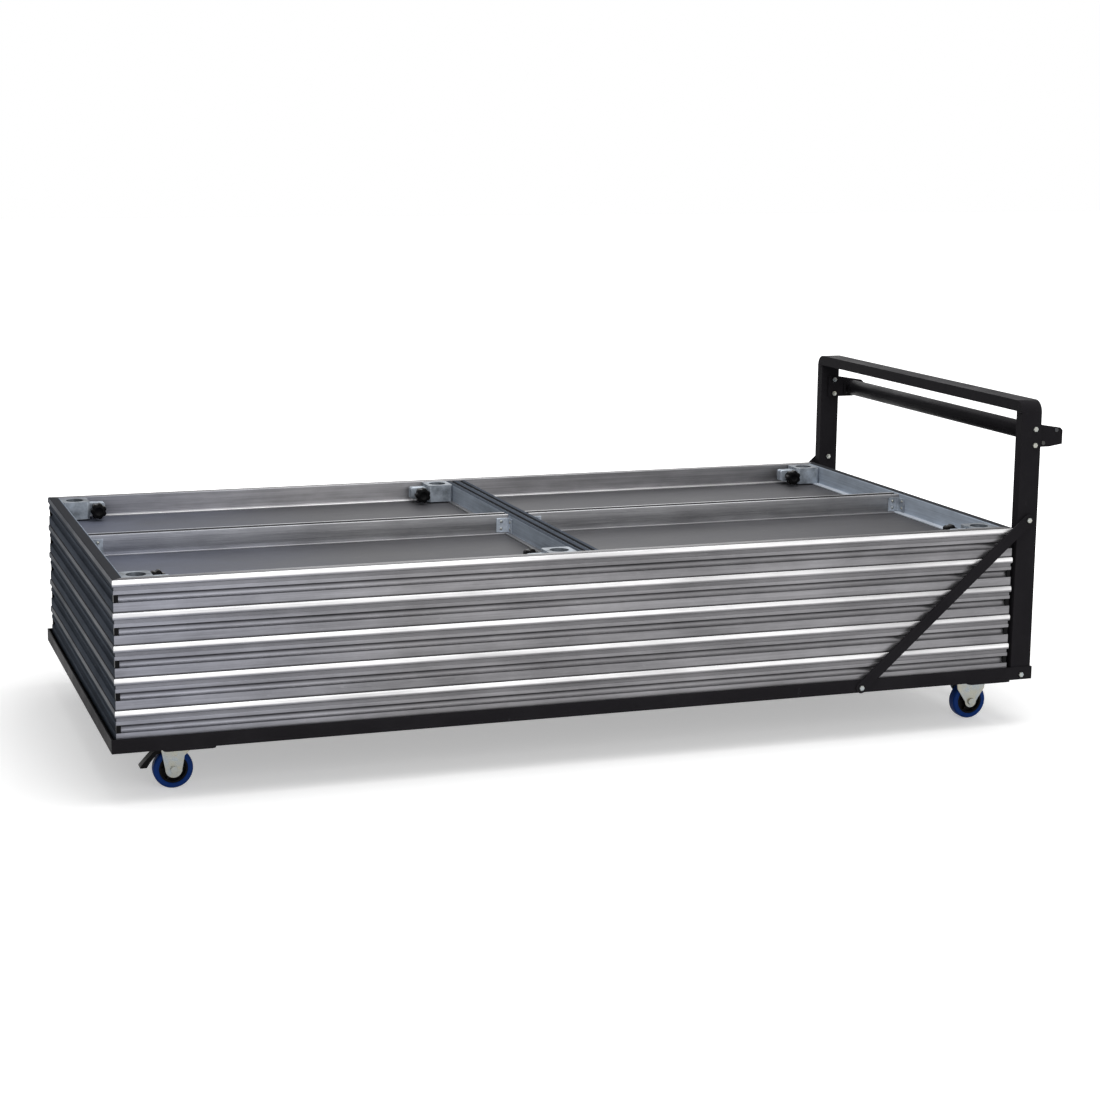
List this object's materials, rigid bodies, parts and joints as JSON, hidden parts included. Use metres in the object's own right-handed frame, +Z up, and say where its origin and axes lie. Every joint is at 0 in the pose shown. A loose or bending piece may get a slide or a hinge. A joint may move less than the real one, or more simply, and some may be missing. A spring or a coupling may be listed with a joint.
{
  "type": "storage trolley",
  "caption": "Flat trolley on castors with a braced hoop and a round push handle, carrying a stack of framed stage decks laid upside down.",
  "frame": {"origin": "on the ground under the middle of the trolley's bounding box", "axes": "+X along the trolley to its push handle, +Z up, -Y the front side in the picture"},
  "size_m": [2.604, 1.253, 0.9],
  "materials": {
    "deck_aluminium": "satin extruded",
    "cast_aluminium": "as cast, matt",
    "deck_board": "dark grey film faced plywood",
    "black_steel": "black powder coat",
    "zinc_plated_steel": "bright zinc",
    "blue_rubber": "matt blue elastic rubber",
    "black_plastic": "moulded, slightly glossy"
  },
  "bodies": {
    "trolley": {"side_rail_front": "black_steel", "side_rail_back": "black_steel", "end_rails": "black_steel", "deck_bearers": "black_steel", "castor_mounting_plates": "black_steel", "post_front": "black_steel", "post_back": "black_steel", "top_bar": "black_steel", "brace_front": "black_steel", "brace_back": "black_steel", "brace_spacers": "black_steel", "push_handle": "black_steel", "handle_brackets": "black_steel", "handle_end_plates": "black_steel", "handle_rivets": "zinc_plated_steel", "hex_bolts": "zinc_plated_steel", "hex_nuts": "zinc_plated_steel", "castor_top_plates": "zinc_plated_steel", "castor_kingpins": "zinc_plated_steel", "castor_fork_handle_front": "zinc_plated_steel", "castor_axle_handle_front": "zinc_plated_steel", "castor_fork_handle_back": "zinc_plated_steel", "castor_axle_handle_back": "zinc_plated_steel"},
    "deck_1": {"deck_1_frame": "deck_aluminium", "deck_1_panel": "deck_board", "deck_1_leg_clamps": "cast_aluminium"},
    "deck_2": {"deck_2_frame": "deck_aluminium", "deck_2_panel": "deck_board", "deck_2_leg_clamps": "cast_aluminium"},
    "deck_3": {"deck_3_frame": "deck_aluminium", "deck_3_panel": "deck_board", "deck_3_leg_clamps": "cast_aluminium"},
    "deck_4": {"deck_4_frame": "deck_aluminium", "deck_4_panel": "deck_board", "deck_4_leg_clamps": "cast_aluminium"},
    "top_deck": {"top_deck_frame": "deck_aluminium", "top_deck_panel": "deck_board", "top_deck_leg_clamps": "cast_aluminium", "top_deck_inner_rails": "deck_aluminium"},
    "knob_far_front": {"clamp_knob_far_front": "black_plastic"},
    "knob_far_back": {"clamp_knob_far_back": "black_plastic"},
    "knob_mid_front": {"clamp_knob_mid_front": "black_plastic"},
    "knob_mid_back": {"clamp_knob_mid_back": "black_plastic"},
    "knob_handle_front": {"clamp_knob_handle_front": "black_plastic"},
    "knob_handle_back": {"clamp_knob_handle_back": "black_plastic"},
    "wheel_far_front": {"wheel_hub_far_front": "black_plastic", "tyre_far_front": "blue_rubber"},
    "swivel_far_front": {"castor_fork_far_front": "zinc_plated_steel", "castor_axle_far_front": "zinc_plated_steel"},
    "pedal_front": {"brake_pedal_front": "black_plastic"},
    "wheel_far_back": {"wheel_hub_far_back": "black_plastic", "tyre_far_back": "blue_rubber"},
    "swivel_far_back": {"castor_fork_far_back": "zinc_plated_steel", "castor_axle_far_back": "zinc_plated_steel"},
    "pedal_back": {"brake_pedal_back": "black_plastic"},
    "wheel_handle_front": {"wheel_hub_handle_front": "black_plastic", "tyre_handle_front": "blue_rubber"},
    "wheel_handle_back": {"wheel_hub_handle_back": "black_plastic", "tyre_handle_back": "blue_rubber"}
  },
  "joints": [
    {"name": "deck_1_lift", "type": "slide", "parent": "trolley", "child": "deck_1", "axis": [0, 0, 1], "range_m": [0, 0.15]},
    {"name": "deck_2_lift", "type": "slide", "parent": "deck_1", "child": "deck_2", "axis": [0, 0, 1], "range_m": [0, 0.15]},
    {"name": "deck_3_lift", "type": "slide", "parent": "deck_2", "child": "deck_3", "axis": [0, 0, 1], "range_m": [0, 0.15]},
    {"name": "deck_4_lift", "type": "slide", "parent": "deck_3", "child": "deck_4", "axis": [0, 0, 1], "range_m": [0, 0.15]},
    {"name": "top_deck_lift", "type": "slide", "parent": "deck_4", "child": "top_deck", "axis": [0, 0, 1], "range_m": [0, 0.45]},
    {"name": "knob_turn_far_front", "type": "hinge", "parent": "top_deck", "child": "knob_far_front", "pos_m": [-1.1637, -0.5417, 0.527], "axis": [0, 1, 0], "continuous": true},
    {"name": "knob_turn_far_back", "type": "hinge", "parent": "top_deck", "child": "knob_far_back", "pos_m": [-1.1637, 0.5417, 0.527], "axis": [0, 1, 0], "continuous": true},
    {"name": "knob_turn_mid_front", "type": "hinge", "parent": "top_deck", "child": "knob_mid_front", "pos_m": [-0.2003, -0.5417, 0.527], "axis": [0, 1, 0], "continuous": true},
    {"name": "knob_turn_mid_back", "type": "hinge", "parent": "top_deck", "child": "knob_mid_back", "pos_m": [-0.2003, 0.5417, 0.527], "axis": [0, 1, 0], "continuous": true},
    {"name": "knob_turn_handle_front", "type": "hinge", "parent": "top_deck", "child": "knob_handle_front", "pos_m": [1.0197, -0.5417, 0.527], "axis": [0, 1, 0], "continuous": true},
    {"name": "knob_turn_handle_back", "type": "hinge", "parent": "top_deck", "child": "knob_handle_back", "pos_m": [1.0197, 0.5417, 0.527], "axis": [0, 1, 0], "continuous": true},
    {"name": "castor_swivel_far_front", "type": "hinge", "parent": "trolley", "child": "swivel_far_front", "pos_m": [-1.112, -0.496, 0.11], "axis": [0, 0, 1], "continuous": true},
    {"name": "wheel_spin_far_front", "type": "hinge", "parent": "swivel_far_front", "child": "wheel_far_front", "pos_m": [-1.136, -0.496, 0.05], "axis": [0, 1, 0], "continuous": true},
    {"name": "brake_pedal_press_front", "type": "hinge", "parent": "swivel_far_front", "child": "pedal_front", "pos_m": [-1.158, -0.496, 0.10302], "axis": [0, -1, 0], "range_deg": [0, 10]},
    {"name": "castor_swivel_far_back", "type": "hinge", "parent": "trolley", "child": "swivel_far_back", "pos_m": [-1.112, 0.496, 0.11], "axis": [0, 0, 1], "continuous": true},
    {"name": "wheel_spin_far_back", "type": "hinge", "parent": "swivel_far_back", "child": "wheel_far_back", "pos_m": [-1.136, 0.496, 0.05], "axis": [0, 1, 0], "continuous": true},
    {"name": "brake_pedal_press_back", "type": "hinge", "parent": "swivel_far_back", "child": "pedal_back", "pos_m": [-1.158, 0.496, 0.10302], "axis": [0, -1, 0], "range_deg": [0, 10]},
    {"name": "wheel_spin_handle_front", "type": "hinge", "parent": "trolley", "child": "wheel_handle_front", "pos_m": [1.092, -0.496, 0.05], "axis": [0, 1, 0], "continuous": true},
    {"name": "wheel_spin_handle_back", "type": "hinge", "parent": "trolley", "child": "wheel_handle_back", "pos_m": [1.092, 0.496, 0.05], "axis": [0, 1, 0], "continuous": true}
  ]
}
